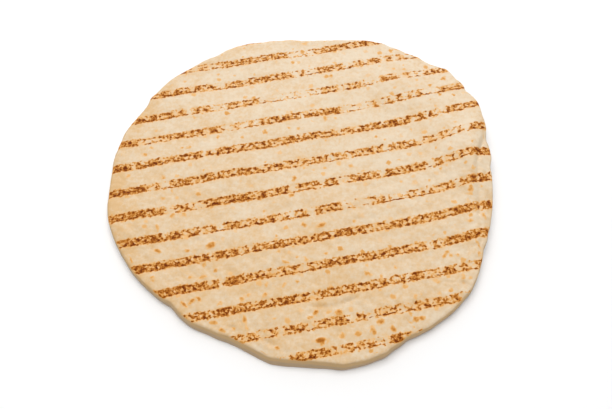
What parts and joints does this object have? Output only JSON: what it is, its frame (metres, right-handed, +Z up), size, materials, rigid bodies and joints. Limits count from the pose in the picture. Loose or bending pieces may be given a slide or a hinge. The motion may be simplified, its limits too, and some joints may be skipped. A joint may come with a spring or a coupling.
{
  "type": "lavash flatbread",
  "caption": "Soft round grilled flatbread with an uneven hand-shaped outline and a plain side, one edge curled up a little. It lies flat, to be torn, topped or wrapped.",
  "frame": {"origin": "under the middle of the bread's bounding box, on the surface it lies on", "axes": "+Z up, out of the grilled face. +X to the right, where the edge is raised, and +Y away from the viewer, as the picture shows it"},
  "size_m": [0.276, 0.2766, 0.02],
  "materials": {
    "crust": "matte, dry baked crust with grill marks"
  },
  "bodies": {
    "root": {"lavash": "crust"}
  },
  "joints": []
}
